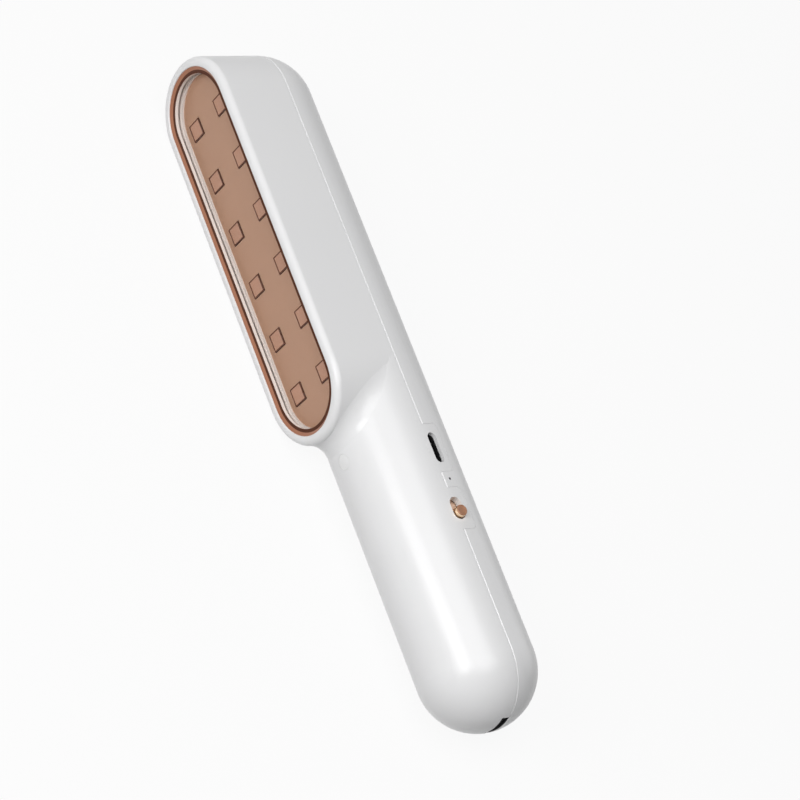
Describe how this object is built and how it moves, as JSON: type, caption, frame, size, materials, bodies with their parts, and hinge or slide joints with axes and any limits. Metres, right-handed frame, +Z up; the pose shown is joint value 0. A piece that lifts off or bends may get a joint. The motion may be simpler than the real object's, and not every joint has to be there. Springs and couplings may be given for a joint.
{
  "type": "handheld led light wand",
  "caption": "Handheld light wand: a long head with a sunk oval window over a grid of square emitters, and a round handle with a slide switch and a charging socket.",
  "frame": {"origin": "centre of the bounding box's underside: the wand lies on the flat side of its head, with the switch and the socket upwards", "axes": "+X from the handle's round end to the head's tip, +Y the way the window faces, +Z up, on the side with the switch and the socket"},
  "size_m": [0.1984, 0.036, 0.033],
  "materials": {
    "casing": "smooth white plastic with a soft gloss",
    "trim": "rose-gold coating",
    "spacer": "glossy white plastic",
    "window": "clear, polished",
    "reflector": "satin rose-gold coating",
    "emitters": "satin, with a clear cover",
    "board_white": "white solder mask",
    "spreader": "plain aluminium sheet",
    "screws": "zinc plated",
    "cell": "shrink wrapped",
    "contacts": "nickel strip",
    "foam": "closed-cell foam",
    "board_green": "green solder mask",
    "socket_metal": "drawn steel shell",
    "socket_tongue": "black plastic",
    "switch_metal": "folded steel frame",
    "switch_lever": "black plastic",
    "knob": "rose-gold coating",
    "diode": "clear resin",
    "pipe": "clear resin",
    "indicator": "milky plastic",
    "inductor": "ferrite grey",
    "chips": "black resin",
    "capacitors": "tan ceramic",
    "connector": "natural nylon",
    "wire": "soft insulation",
    "bar": "plain steel pin"
  },
  "bodies": {
    "wand": {"front_shell": "casing", "rear_shell": "casing", "trim_ring": "trim", "spacer_ring": "spacer", "window_lens": "window", "reflector_plate": "reflector", "led_packages": "emitters", "led_board": "board_white", "heat_spreader": "spreader", "stack_screws": "screws", "battery_cell": "cell", "battery_tabs": "contacts", "battery_foam": "foam", "control_board": "board_green", "usb_receptacle": "socket_metal", "usb_tongue": "socket_tongue", "switch_housing": "switch_metal", "status_led": "diode", "light_pipe": "pipe", "indicator_lens": "indicator", "indicator_board": "board_green", "indicator_led": "diode", "power_inductor": "inductor", "driver_chips": "chips", "capacitors": "capacitors", "wire_connectors": "connector", "led_wires": "wire", "battery_wires": "wire", "indicator_wires": "wire", "lanyard_bar": "bar"},
    "knob": {"slide_knob": "knob", "switch_actuator": "switch_lever"}
  },
  "joints": [
    {"name": "switch_slide", "type": "slide", "parent": "wand", "child": "knob", "axis": [1, 0, 0], "range_m": [0, 0.0024]}
  ]
}
